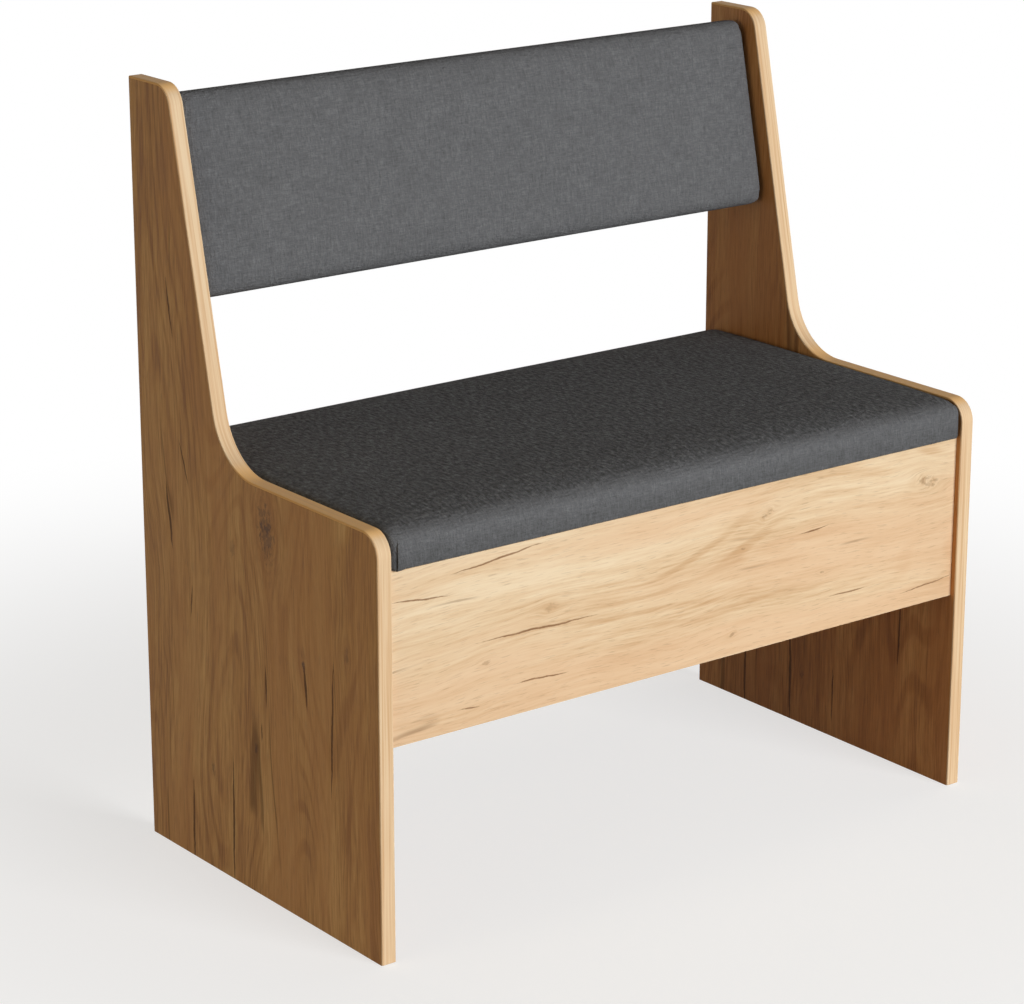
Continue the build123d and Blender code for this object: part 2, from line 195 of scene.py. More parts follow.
def paint(red, green, blue):
    """A colour as it is seen on a screen, 0 to 255, turned into Blender's linear values."""
    parts = [part / 255 for part in (red, green, blue)]
    parts = [part / 12.92 if part <= 0.04045 else ((part + 0.055) / 1.055) ** 2.4 for part in parts]
    return (*parts, 1.0)


print("pale oak in linear values", [round(part, 3) for part in paint(211, 183, 141)[:3]])

# %% [markdown]
# ## Oak boards
# The boards are chipboard with a printed oak decor: soft bands, fine fibres, thin dark cracks along the
# grain and a few knots. An image would be quick but can't be resized, so the decor is drawn from noise
# that is stretched along the grain. The cracks and knots that the photo shows get their own places on
# the face that it shows.


# %% Oak decor
def oak_board(name, along, across, through, middle, look, grain, knots, cracks, turn):
    """Grain runs along one axis. Knots and cracks lie on the face below the middle of the board."""
    finish = new_finish(name)
    axes = finish.axes()
    run = axes[along]
    cross = axes[across]
    layer = axes[through] * 24.0 + turn
    shown = 1.0 - finish.ease(axes[through], middle - 0.001, middle + 0.001)

    grit = finish.noise(finish.place(run * 150.0, cross * 280.0, layer + 17.0), detail=3.0, roughness=0.65)
    wander = finish.noise(finish.place(run * 2.1, cross * 4.0, layer), detail=2.0) - 0.5
    waver = finish.noise(finish.place(run * 9.0, cross * 16.0, layer + 2.0), detail=2.0) - 0.5
    flow = cross + wander * 0.050 + waver * 0.008
    core = 0.0
    halo = 0.0
    for knot_run, knot_cross, size, depth, slant in knots:
        far = (run - knot_run) / (size * 2.2)
        side = (cross - knot_cross - (run - knot_run) * slant) / size
        reach = far * far + side * side
        spread = reach.math("EXPONENT", reach * -0.35) * shown
        flow = flow - spread * side * (size * 0.9)
        halo = halo + spread * depth
        core = core + (1.0 - finish.ease(reach + (grit - 0.5) * 3.6, -0.1, 0.7)) * shown * depth

    bands = finish.noise(finish.place(flow * 12.0, run * 0.8, layer + 3.0), detail=2.0)
    patches = finish.noise(finish.place(flow * 34.0, run * 3.2, layer + 4.0), detail=2.0)
    streaks = finish.noise(finish.place(flow * 130.0, run * 6.0, layer + 5.0), detail=3.0, roughness=0.6)
    fibres = finish.noise(finish.place(flow * 430.0, run * 20.0, layer + 7.0), detail=3.0, roughness=0.65)
    pores = finish.ease(finish.noise(finish.place(flow * 1000.0, run * 55.0, layer)), 0.58, 0.72)
    years = finish.noise(finish.place(flow * 7.5, run * 1.5, layer + 23.0), detail=1.0) * 120.0
    rings = finish.ease(years.math("SINE", years + patches * 3.0), 0.1, 1.0)
    arch = finish.ease(finish.noise(finish.place(cross * 8.0, run * 2.4, layer + 37.0)), 0.46, 0.60)
    tone = bands * 0.32 + patches * 0.30 + streaks * 0.34 + fibres * grain
    tone = tone - rings * arch * (0.05 + streaks * 0.10) - 0.13 - (grain - 0.34) * 0.5
    dark, middle_tone, pale, blush, split_tone = look
    colour = finish.ramp(tone, [(0.34, dark), (0.50, middle_tone), (0.66, pale)])
    hue = finish.noise(finish.place(flow * 16.0, run * 1.7, layer + 29.0), detail=2.0)
    colour = finish.mix(finish.ease(hue, 0.42, 0.66) * 0.55, colour, blush)

    level = finish.noise(finish.place(flow * 17.0, run * 1.3, layer + 11.0), detail=1.0)
    patch = finish.ease(finish.noise(finish.place(cross * 9.0, run * 4.0, layer + 13.0)), 0.57, 0.63)
    gape = (1.0 - finish.ease(abs(level - 0.5), 0.003, 0.014)) * patch * 0.6
    ripple = (finish.noise(finish.place(run * 22.0, 0.0, turn), detail=3.0) - 0.5) * 0.006
    for start_run, start_cross, end_run, end_cross, width in cracks:
        share = (run - start_run) / (end_run - start_run)
        line = start_cross + share * (end_cross - start_cross) + ripple
        room = share * (1.0 - share) * (4.0 * width) - abs(cross - line) + (grit - 0.5) * 0.0012
        gape = gape + finish.ease(room, 0.0, 0.0009) * shown
    split = gape.math("MINIMUM", gape, 1.0)

    colour = finish.mix(pores * 0.25, colour, split_tone)
    if knots:
        wisps = finish.noise(finish.place(flow * 420.0, run * 90.0, layer + 41.0), detail=2.0)
        specks = finish.ease(wisps, 0.46, 0.60) * 0.6 + 0.25
        halo = halo.math("MINIMUM", halo, 1.0) * specks
        colour = finish.mix(halo * 0.8, colour, dark)
        core = core.math("MINIMUM", core, 1.0) * (0.25 + wisps * 0.9)
        colour = finish.mix(core.math("MINIMUM", core, 1.0), colour, split_tone)
    colour = finish.mix(split * (0.55 + fibres * 0.6), colour, split_tone)
    roughness = 0.40 + fibres * 0.18 + split * 0.2
    finish.wear(colour, roughness, fibres * 0.5 - pores * 0.4 - split, strength=0.25, step=0.0003)
    finish.shader.inputs["Specular IOR Level"].default_value = 0.2
    print(name, "has", len(knots), "knots and", len(cracks), "drawn cracks")
    return finish.owner


# %% [markdown]
# ## The five oak boards
# A look is five colours: dark, middle, pale, the blush of some bands, and the dark of the cracks. A knot
# is its place along and across the grain, its size, its depth of colour and its slant. A crack is its
# start, its end and its width. Places, sizes and widths are in metres. The rail and the chest's floor
# don't show in the photo, and stay plain.

# %% The five oak boards
# The side panels' looks are darker, more saturated copies of the apron's colours. This is painted shade
# for the left panel's outer face and the right panel's inner face, which lie in shade, the right one
# deeper.
left_shaded_look = (
    paint(149, 101, 50), paint(192, 146, 89), paint(220, 181, 124),
    paint(189, 137, 82), paint(66, 40, 20),
)
apron_look = (
    paint(206, 168, 126), paint(229, 201, 164), paint(241, 221, 189),
    paint(231, 194, 157), paint(134, 95, 60),
)
right_shaded_look = (
    paint(149, 94, 44), paint(192, 135, 79), paint(220, 168, 110),
    paint(189, 127, 73), paint(66, 38, 18),
)
panel_grain = 0.54
apron_grain = 0.36
left_oak_painted_shade = oak_board(
    "oak_left_panel_painted_shade", 2, 1, 0, -0.375, left_shaded_look, panel_grain,
    [
        (0.389, -0.020, 0.0165, 0.95, 0.10), (0.357, 0.041, 0.0060, 0.35, 0.00),
        (0.269, -0.081, 0.0036, 1.0, 0.10), (0.156, 0.007, 0.0034, 1.0, -0.20),
        (0.111, 0.087, 0.0036, 0.7, 0.10), (0.300, -0.155, 0.0060, 0.3, 0.00),
    ],
    [
        (0.293, -0.132, 0.136, -0.125, 0.0020), (0.254, -0.013, 0.203, -0.015, 0.0018),
        (0.095, 0.126, -0.020, 0.128, 0.0022), (0.147, 0.049, -0.020, 0.053, 0.0022),
        (0.400, 0.162, 0.322, 0.152, 0.0026), (0.617, 0.153, 0.540, 0.139, 0.0016),
        (0.274, -0.082, 0.222, -0.086, 0.0024), (0.190, -0.005, 0.165, -0.004, 0.0014),
        (0.450, 0.136, 0.396, 0.118, 0.0016), (0.302, 0.118, 0.258, 0.122, 0.0014),
    ],
    2.0,
)
right_oak_painted_shade = oak_board(
    "oak_right_panel_painted_shade", 2, 1, 0, 0.375, right_shaded_look, panel_grain,
    [(0.600, 0.160, 0.0050, 0.5, 0.10), (0.060, 0.030, 0.0040, 0.6, 0.00)],
    [
        (0.085, 0.128, -0.020, 0.126, 0.0022), (0.120, 0.052, -0.010, 0.048, 0.0024),
        (0.200, -0.125, 0.100, -0.124, 0.0018), (0.090, -0.020, 0.010, -0.022, 0.0016),
    ],
    9.0,
)
apron_oak = oak_board(
    "oak_apron", 0, 2, 1, -0.192, apron_look, apron_grain,
    [
        (0.104, 0.359, 0.0042, 0.65, 0.50), (0.071, 0.328, 0.0020, 0.70, 0.10),
        (0.329, 0.351, 0.0080, 0.55, -0.25), (0.181, 0.281, 0.0018, 0.60, 0.00),
        (-0.252, 0.278, 0.0028, 0.50, 0.20), (0.059, 0.239, 0.0028, 0.65, 0.35),
        (-0.175, 0.318, 0.0050, 0.30, 0.10),
    ],
    [
        (-0.305, 0.374, -0.169, 0.387, 0.0014), (-0.372, 0.362, -0.288, 0.354, 0.0013),
        (-0.275, 0.301, -0.104, 0.298, 0.0015), (-0.225, 0.249, -0.145, 0.247, 0.0013),
        (-0.291, 0.237, -0.256, 0.236, 0.0011), (0.142, 0.328, 0.191, 0.331, 0.0013),
        (0.184, 0.252, 0.250, 0.252, 0.0012), (0.281, 0.233, 0.375, 0.241, 0.0012),
    ],
    4.0,
)
rail_oak = oak_board("oak_rail", 0, 2, 1, 0.1275, apron_look, apron_grain, [], [], 14.0)
bottom_oak = oak_board("oak_bottom", 0, 1, 2, 0.228, apron_look, apron_grain, [], [], 19.0)

# %% [markdown]
# ## Edge bands
# The cut edges carry a thin plastic band, paler than the boards, with fine streaks along its length. The
# band of a side panel bends round the shoulder, so the streaks must follow a curve. They do so here
# without a map, because the noise is quick across the 16 mm width, on X, and slow in the other two
# directions, in which the band bends. The stretches that lie flat, on the arms and at the very top, get a
# more golden tint. It is painted shade, for the darker and warmer look that the low front light gives
# tops.


# %% Edge bands
arm_level = 0.4325
panel_top = 0.800
flat_top_shade_tint = paint(250, 202, 137)


def edge_band(name, quick_axis, turn, top_tint_share):
    finish = new_finish(name)
    axes = finish.axes()
    slow = [axis * 5.0 for axis in axes]
    slow[quick_axis] = axes[quick_axis] * 420.0 + turn
    fine = [axis * 16.0 for axis in axes]
    fine[quick_axis] = axes[quick_axis] * 1500.0 + turn
    streaks = finish.noise(finish.place(*slow), detail=2.0)
    fibres = finish.noise(finish.place(*fine), detail=2.0)
    tone = streaks * 0.75 + fibres * 0.35 - 0.05
    stops = [(0.34, paint(216, 178, 136)), (0.50, paint(230, 200, 162)), (0.66, paint(238, 214, 180))]
    height = axes[2]
    past_corner = finish.ease(height, arm_level - 0.0075, arm_level - 0.0005)
    up_shoulder = finish.ease(height, arm_level + 0.0010, arm_level + 0.0135)
    very_top = finish.ease(height, panel_top - 0.010, panel_top - 0.001)
    # painted shade: the flat stretches on the arms and at the very top are tinted golden, for the darker,
    # warmer look that the low front light gives them
    painted_top_tint = (past_corner * (1.0 - up_shoulder) + very_top) * top_tint_share * (0.35 + streaks * 1.1)
    colour = finish.mix(painted_top_tint, finish.ramp(tone, stops), flat_top_shade_tint)
    finish.wear(colour, 0.40 + fibres * 0.14, fibres, strength=0.12, step=0.0002)
    finish.shader.inputs["Specular IOR Level"].default_value = 0.05
    return finish.owner


panel_band = edge_band("oak_edge_band_panel", 0, 0.0, 1.0)
apron_band = edge_band("oak_edge_band_apron", 1, 3.0, 0.0)
print("edge bands:", panel_band.name, apron_band.name)

# %% [markdown]
# ## Raw board, metal and beech
# Under the cloth sit raw chipboards, whose pressed flakes show on the underside of the lid. Hinges,
# brackets and screws are zinc plated, the cam locks are cast zinc, and the dowels are beech. None of
# them shows in the photo, so they follow what such parts look like in any workshop.


# %% Raw board, metal and beech
def chipboard(name):
    finish = new_finish(name)
    x, y, z = finish.axes()
    bent = finish.place(x * 420.0, y * 640.0, z * 640.0)
    cells = {"Vector": bent, "Scale": 1.0}
    flakes = finish.node("ShaderNodeTexVoronoi", {"feature": "F1"}, cells, output=1)
    grey = finish.node("ShaderNodeSeparateXYZ", {}, {0: flakes})
    dust = finish.noise(finish.place(x * 1800.0, y * 1800.0, z * 1800.0))
    tone = grey * 0.6 + dust * 0.4
    stops = [(0.1, paint(150, 116, 76)), (0.45, paint(190, 156, 110)), (0.85, paint(216, 190, 146))]
    finish.wear(finish.ramp(tone, stops), 0.75 + dust * 0.2, tone, strength=0.4, step=0.0003)
    finish.shader.inputs["Specular IOR Level"].default_value = 0.2
    return finish.owner


def plated_metal(name, light, dark, gloss, grit):
    finish = new_finish(name)
    x, y, z = finish.axes()
    cloud = finish.noise(finish.place(x * 220.0, y * 220.0, z * 220.0), detail=3.0)
    grain = finish.noise(finish.place(x * grit, y * grit, z * grit))
    colour = finish.ramp(cloud, [(0.3, dark), (0.7, light)])
    finish.wear(colour, gloss + cloud * 0.2, grain, strength=0.12, step=0.0001)
    finish.shader.inputs["Metallic"].default_value = 1.0
    return finish.owner


def beech_dowel(name):
    finish = new_finish(name)
    x, y, z = finish.axes()
    fibres = finish.noise(finish.place(x * 30.0, y * 900.0, z * 900.0), detail=3.0)
    colour = finish.ramp(fibres, [(0.3, paint(186, 138, 96)), (0.7, paint(216, 176, 134))])
    finish.wear(colour, 0.6 + fibres * 0.2)
    return finish.owner


raw_board = chipboard("raw_chipboard")
zinc_steel = plated_metal("zinc_plated_steel", paint(178, 182, 186), paint(132, 137, 143), 0.34, 2500.0)
cast_zinc = plated_metal("cast_zinc", paint(158, 158, 160), paint(118, 119, 123), 0.46, 1200.0)
beech = beech_dowel("beech_dowels")
print("hidden finishes:", raw_board.name, zinc_steel.name, cast_zinc.name, beech.name)

# %% [markdown]
# ## Woven cloth
# Both pads wear the same grey cloth, a flat weave of uneven threads with light and dark slubs. The flat
# of the seat is more mottled than the backrest, and that mottle also darkens the flat a little, partly
# texture and partly painted shade for the dim top. Down the walls the cloth gets painted shade, darker
# towards the bottom. Threads have to run along the pad and turn down over its rolls, so they follow a
# point attribute called weave: the distance along the cloth, the distance across it, and the drop below
# the top. Each pad gets it at its end.


# %% Woven cloth
thread_pair = 0.0016


def woven_cloth(name, mottle):
    finish = new_finish(name)
    weave = finish.node("ShaderNodeAttribute", {"attribute_name": "weave"}, {}, output=1)
    along = finish.node("ShaderNodeSeparateXYZ", {}, {0: weave}, output=0)
    across = finish.node("ShaderNodeSeparateXYZ", {}, {0: weave}, output=1)
    drop = finish.node("ShaderNodeSeparateXYZ", {}, {0: weave}, output=2)
    warp = finish.noise(finish.place(along * 1150.0, across * 75.0, 1.0), detail=2.0, roughness=0.6)
    weft = finish.noise(finish.place(along * 75.0, across * 1150.0, 2.0), detail=2.0, roughness=0.6)
    flecks = finish.noise(finish.place(along * 520.0, across * 520.0, 3.0), detail=2.0, roughness=0.7)
    cloud = finish.noise(finish.place(along * 30.0, across * 30.0, 4.0), detail=2.0)
    nap = finish.noise(finish.place(along * 240.0, across * 290.0, 6.0), detail=2.0, roughness=0.6)
    slubs = finish.noise(finish.place(along * 230.0, across * 75.0, 8.0), detail=2.0, roughness=0.55)
    picks = finish.noise(finish.place(along * 60.0, across * 260.0, 9.0), detail=2.0, roughness=0.55)
    over = along.math("SINE", along * (2 * math.pi / thread_pair))
    under = along.math("SINE", across * (2 * math.pi / thread_pair))
    knit = over * under * (0.3 + cloud)
    grains = finish.noise(finish.place(along * 240.0, across * 135.0, 7.0), detail=2.0, roughness=0.5)
    # painted shade: the cloth is darker down the walls of the pad, deepening towards the bottom
    painted_wall_shade = finish.ease(drop, 0.012, 0.036)
    # partly texture, partly painted shade: the mottle sits below the middle tone, so it also darkens the
    # flat top of the seat a little
    mottle_and_top_shade = (grains - 0.56) * (1.0 - finish.ease(drop, 0.001, 0.005)) * mottle
    tone = warp * 0.29 + weft * 0.29 + flecks * 0.20 + nap * 0.12 + slubs * 0.16 + picks * 0.14
    tone = tone + cloud * 0.12 - 0.175 + mottle_and_top_shade - painted_wall_shade * 0.085
    stops = [(0.30, paint(84, 86, 88)), (0.50, paint(108, 110, 114)), (0.70, paint(135, 138, 141))]
    height = knit * 0.12 + (warp + weft) * 0.5 + flecks + nap * (0.6 + cloud * 3.4) + slubs * 2.6 + picks
    finish.wear(finish.ramp(tone, stops), 0.86 + flecks * 0.14, height, strength=0.8, step=0.0008)
    finish.shader.inputs["Specular IOR Level"].default_value = 0.03
    return finish.owner


grey_cloth = woven_cloth("grey_woven_cloth", 0.0)
seat_cloth = woven_cloth("grey_woven_cloth_seat", 0.78)
print("cloth:", grey_cloth.name, seat_cloth.name)

# %% [markdown]
# ## Finishes on the CAD pieces
# A CAD node's shape is right as it is, so only its material changes. A table of names is enough, because
# each node is one kind of part.

# %% Finishes on the CAD pieces
finish_of = {
    "left_side_panel": left_oak_painted_shade,
    "right_side_panel": right_oak_painted_shade,
    "front_apron": apron_oak,
    "rear_rail": rail_oak,
    "storage_bottom": bottom_oak,
    "left_edge_band": panel_band,
    "right_edge_band": panel_band,
    "front_apron_edge_bands": apron_band,
    "rear_rail_edge_bands": apron_band,
    "seat_board": raw_board,
    "backrest_board": raw_board,
    "apron_cam_locks": cast_zinc,
    "bottom_cam_locks": cast_zinc,
    "rail_cam_locks": cast_zinc,
    "wood_dowels": beech,
}
soft_nodes = ("seat_cover", "seat_foam", "backrest_cover", "backrest_foam")
for node_name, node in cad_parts.items():
    node.data.materials.clear()
    hard_finish = finish_of.get(node_name, zinc_steel)
    node.data.materials.append(grey_cloth if node_name in soft_nodes else hard_finish)
print(len(finish_of), "named finishes, the other nodes are plated steel")

# %% [markdown]
# ## Pad blanks
# Each pad is a board, a slab of foam and a cloth that is pulled over both and stapled behind. It could
# be one bevelled block, but taut cloth over foam has a crown and softer edges. So the pad starts as a
# fine box, its top edges are rolled over, and a cloth simulation with a little air pressure lifts the
# free cloth off the board.


# %% Pad blanks
def start_edit(piece):
    bpy.ops.object.select_all(action="DESELECT")
    piece.select_set(True)
    bpy.context.view_layer.objects.active = piece
    bpy.ops.object.mode_set(mode="EDIT")
    bpy.ops.mesh.select_all(action="DESELECT")
    return bmesh.from_edit_mesh(piece.data)


def end_edit():
    bpy.ops.object.mode_set(mode="OBJECT")


def points_of(piece):
    found = np.zeros(len(piece.data.vertices) * 3)
    piece.data.vertices.foreach_get("co", found)
    return found.reshape(-1, 3)


def set_points(piece, points):
    piece.data.vertices.foreach_set("co", points.ravel())
    piece.data.update()


def box_net(name, low, high, cell):
    """A cube at its size and place, cut into cells of about one size on every side."""
    bpy.ops.object.select_all(action="DESELECT")
    bpy.ops.mesh.primitive_cube_add(size=1.0, location=(low + high) / 2, scale=high - low)
    piece = bpy.context.object
    piece.name = name
    bpy.ops.object.transform_apply(location=True, rotation=True, scale=True)
    for axis in range(3):
        net = start_edit(piece)
        for edge in net.edges:
            run = edge.verts[1].co - edge.verts[0].co
            edge.select_set(abs(run[axis]) > 0.99 * run.length)
        bpy.ops.mesh.subdivide(number_cuts=round((high - low)[axis] / cell) - 1)
        end_edit()
    return piece


print("a box net has cells of one size on every side")

# %% [markdown]
# ## Rolled edges and an open underside
# The lowest 17 mm of a pad are the board and the cloth turned under it, and stay straight. Above them
# the edges roll over. A bevel would do for one radius, but here each side has its own roll, so the
# points are moved instead.

# %% Rolled edges and an open underside
board_skin = 0.017
tiny = 1e-9


def roll_edges(piece, low, high, roll, corner, fall):
    """Rounds the top edges and the upright corners, and lets the top fall off towards the long sides."""
    points = points_of(piece)
    for axis, (reach_in, reach_down) in enumerate(roll):
        inner = np.clip(points[:, axis], low[axis] + reach_in, high[axis] - reach_in)
        side = (points[:, axis] - inner) / reach_in
        bend = high.z - reach_down
        up = np.maximum(points[:, 2] - bend, 0.0) / reach_down
        turn_in = np.maximum(np.abs(side), up) / np.maximum(np.hypot(side, up), tiny)
        points[:, axis] = inner + side * np.where(up > 0.0, turn_in, 1.0) * reach_in
        points[:, 2] = np.where(up > 0.0, bend + up * turn_in * reach_down, points[:, 2])
    radius = np.where(points[:, :1] < 0.0, corner[0], corner[1])
    core = np.clip(points[:, :2], np.array(low)[:2] + radius, np.array(high)[:2] - radius)
    reach = (points[:, :2] - core) / radius
    square = np.abs(reach).max(axis=1)
    reach *= (square / np.maximum(np.hypot(reach[:, 0], reach[:, 1]), tiny))[:, None]
    points[:, :2] = core + reach * radius
    from_side = np.minimum(points[:, 1] - low.y, high.y - points[:, 1])
    lift = np.clip((points[:, 2] - low.z - board_skin) / (high.z - low.z - board_skin), 0.0, 1.0)
    points[:, 2] -= fall[0] * lift * np.clip(1.0 - from_side / fall[1], 0.0, 1.0) ** 2
    set_points(piece, points)


def open_underside(piece, low, high, margin):
    """Takes the cloth away under the board, and leaves the margin that is turned under."""
    net = start_edit(piece)
    bpy.ops.mesh.select_mode(type="FACE")
    for face in net.faces:
        middle = face.calc_center_median()
        along_inside = low.x + margin < middle.x < high.x - margin
        across_inside = low.y + margin < middle.y < high.y - margin
        face.select_set(face.normal.z < -0.9 and along_inside and across_inside)
    bpy.ops.mesh.delete(type="FACE")
    end_edit()


print("the lowest", board_skin * 1000, "mm of a pad stay straight")

# %% [markdown]
# ## Air pressure under the cloth
# The Cloth modifier treats the whole skin as cloth. The skin on the board is pinned, as staples and the
# board hold it, and the pressure acts on the rest. The points may move only a few millimetres, so that
# the pad stays taut and in its place. One subdivision afterwards smooths the rolls.


# %% Air pressure under the cloth
cloth_steps = 20


def apply_modifier(piece, kind, settings):
    bpy.ops.object.select_all(action="DESELECT")
    piece.select_set(True)
    bpy.context.view_layer.objects.active = piece
    modifier = piece.modifiers.new(kind.title(), kind)
    for name, value in settings.items():
        setattr(modifier, name, value)
    bpy.ops.object.modifier_apply(modifier=modifier.name)


def fill_with_air(piece, pin_height, pressure, cap):
    start = points_of(piece)
    held = piece.vertex_groups.new(name="held")
    held.add([int(index) for index in np.flatnonzero(start[:, 2] < pin_height)], 1.0, "REPLACE")
    bpy.ops.object.select_all(action="DESELECT")
    piece.select_set(True)
    bpy.context.view_layer.objects.active = piece
    cloth = piece.modifiers.new("Cloth", "CLOTH")
    cloth.settings.vertex_group_mass = "held"
    cloth.settings.quality = 6
    cloth.settings.mass = 0.3
    cloth.settings.tension_stiffness = 40.0
    cloth.settings.compression_stiffness = 40.0
    cloth.settings.bending_stiffness = 2.0
    cloth.settings.use_pressure = True
    cloth.settings.uniform_pressure_force = pressure
    cloth.settings.effector_weights.gravity = 0.0
    scene = bpy.context.scene
    for step in range(1, cloth_steps + 1):
        scene.frame_set(step)
    bpy.ops.object.modifier_apply(modifier=cloth.name)
    scene.frame_set(1)
    moved = points_of(piece) - start
    far = np.maximum(np.linalg.norm(moved, axis=1, keepdims=True), tiny)
    furthest = round(float(far.max()) * 1000, 2)
    print(piece.name, "cloth moved", furthest, "mm at most, the cap is", cap * 1000, "mm")
    set_points(piece, start + moved * np.minimum(1.0, cap / far))
    piece.vertex_groups.clear()


cloth_margin = 0.045
print("the cloth is turned under by", cloth_margin * 1000, "mm")

# %% [markdown]
# ## Cut edge of the turned cloth
# Behind the board the cloth ends in a cut edge, never quite straight. The open rim is nudged in and out
# by a slow wave, pushed up past the underside of the board as the cut edge, and closed inside the board,
# where it isn't seen.


# %% Cut edge of the turned cloth
edge_wander = 0.0011
cut_depth = 0.0025


def close_margin(piece):
    net = start_edit(piece)
    bpy.ops.mesh.select_mode(type="EDGE")
    for edge in net.edges:
        edge.select_set(edge.is_boundary)
    for vertex in net.verts:
        if vertex.select:
            along, across = vertex.co.x, vertex.co.y
            vertex.co.x += edge_wander * math.sin(across * 61.0 + along * 7.0) * (abs(along) / 0.3)
            vertex.co.y += edge_wander * math.sin(along * 53.0 + across * 11.0)
    bpy.ops.mesh.extrude_region_move(TRANSFORM_OT_translate={"value": (0.0, 0.0, cut_depth)})
    bpy.ops.mesh.edge_face_add()
    bpy.ops.mesh.select_all(action="SELECT")
    bpy.ops.mesh.normals_make_consistent(inside=False)
    end_edit()


print("the cut edge wanders by", edge_wander * 1000, "mm")

# %% [markdown]
# ## Corner pleats
# At a corner the spare cloth is folded into one pleat, which ends near the top roll. On the left it lies
# on the front, on the right on the end face. A pleat could be sculpted into the skin, but a fold has a
# sharp free edge. So each pleat is a grid that is laid on the pad by shooting rays at it, proud at its
# free edge and flush where it runs out, and is then given thickness.


# %% Corner pleats
pleat_width = 0.030
pleat_proud = 0.0018
pleat_foot = 0.0004


def lay_pleat(name, pad, face, corner_side, free_edge, head):
    """A pleat on an upright face, given by axis and sign. Its free edge looks towards the corner."""
    bpy.ops.object.select_all(action="DESELECT")
    bpy.ops.mesh.primitive_grid_add(x_subdivisions=14, y_subdivisions=16, size=1.0)
    pleat = bpy.context.object
    pleat.name = name
    points = points_of(pleat)
    from_edge = points[:, 0] + 0.5
    rise = points[:, 1] + 0.5
    height = pleat_foot + rise * (head - pleat_foot)
    lean = 0.0012 * rise ** 2 + 0.0003 * np.sin(rise * 7.0)
    along = corner_side * (free_edge - lean - from_edge ** 1.6 * pleat_width)
    skin = BVHTree.FromObject(pad, bpy.context.evaluated_depsgraph_get())
    fold = (1.0 - from_edge) ** 1.4 * (1.0 - rise ** 6)
    proud = pleat_proud * fold - 0.0004 * (from_edge + rise ** 6)
    axis, side = face
    inward = Vector((0.0, 0.0, 0.0))
    inward[axis] = -side
    placed = []
    for spot, level, out in zip(along, height, proud):
        start = Vector((spot, spot, level))
        start[axis] = side * 1.0
        hit = skin.ray_cast(start, inward)
        placed.append(hit[0] + hit[1] * out)
    set_points(pleat, np.array(placed))
    net = start_edit(pleat)
    bpy.ops.mesh.select_all(action="SELECT")
    bpy.ops.mesh.normals_make_consistent(inside=False)
    if sum(tile.normal[axis] for tile in net.faces) * side < 0:
        bpy.ops.mesh.flip_normals()
    end_edit()
    apply_modifier(pleat, "SOLIDIFY", {"thickness": pleat_proud, "offset": -1.0})
    apply_modifier(pleat, "SUBSURF", {"levels": 1, "render_levels": 1})
    return pleat


def join_pieces(first, others):
    bpy.ops.object.select_all(action="DESELECT")
    for piece in [first, *others]:
        piece.select_set(True)
    bpy.context.view_layer.objects.active = first
    bpy.ops.object.join()
    return first


print("a pleat is", pleat_width * 1000, "mm wide and stands", pleat_proud * 1000, "mm proud")

# %% [markdown]
# ## Weave along the pad
# The attribute holds how far along the cloth a point lies. On the top that is its place, and past a roll
# the way down the side is added, so that threads turn over the edge instead of smearing down it. The
# drop below the top is kept as the third value, for the finish to tell the flat from the walls.


# %% Weave along the pad
def map_weave(piece, half_length, half_depth, top):
    points = points_of(piece)
    drop = np.maximum(top - points[:, 2], 0.0)
    end_share = np.clip(points[:, 0] / half_length, -1.0, 1.0)
    side_share = np.clip(points[:, 1] / half_depth, -1.0, 1.0)
    weave = np.zeros((len(points), 3), np.float32)
    weave[:, 0] = points[:, 0] + drop * end_share ** 21
    weave[:, 1] = points[:, 1] + drop * side_share ** 11
    weave[:, 2] = drop
    mapped = piece.data.attributes.new("weave", "FLOAT_VECTOR", "POINT")
    mapped.data.foreach_set("vector", weave.ravel())


print("the weave is laid on each pad after its shape is final")

# %% [markdown]
# ## One pad from start to end
# A pad is made lying flat, board down, in the upholsterer's own frame, and is then carried to its place.
# Its size comes from the solid that it stands for, so a changed bench needs no change here. At its ends
# the cloth may bulge a little past the solid, as long as a gap is left beside it.


# %% One pad from start to end
net_cell = 0.005
most_lift = 0.005
side_ease = 0.0003


def make_pad(name, cover, place, roll, corner, fall, crown, pressure, bulge):
    flat = place.inverted()
    solid = np.array([flat @ vertex.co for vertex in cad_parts[cover].data.vertices])
    low = Vector(solid.min(axis=0)) + Vector((-bulge, side_ease, 0.0))
    high = Vector(solid.max(axis=0)) - Vector((-bulge, side_ease, crown))
    pad = box_net(name, low, high, net_cell)
    open_underside(pad, low, high, cloth_margin)
    roll_edges(pad, low, high, roll, corner, fall)
    fill_with_air(pad, low.z + board_skin, pressure, most_lift)
    apply_modifier(pad, "SUBSURF", {"levels": 1, "render_levels": 1})
    close_margin(pad)
    return pad, low, high


def finish_pad(pad, place, low, high, cloth, cover, foam, body):
    map_weave(pad, high.x, high.y, high.z)
    pad.data.transform(place)
    pad.data.materials.clear()
    pad.data.materials.append(cloth)
    bpy.ops.object.select_all(action="DESELECT")
    pad.select_set(True)
    bpy.context.view_layer.objects.active = pad
    bpy.ops.object.shade_smooth_by_angle(angle=math.radians(50.0))
    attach(pad, body)
    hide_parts(cover, foam)
    print(pad.name, len(pad.data.polygons), "faces, box", [round(side, 4) for side in pad.dimensions])


panel_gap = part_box("seat_cover")[0].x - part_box("left_side_panel")[1].x
print("the seat has", round(panel_gap * 1000, 2), "mm to the panel before it bulges")

# %% [markdown]
# ## Seat
# The seat is a thin taut pad with a broad roll at the front and the rear, and crisp ends beside the
# panels. It rides on the lid, and replaces the lid's cover and foam. Its four pleats are joined to it
# before the weave is laid.

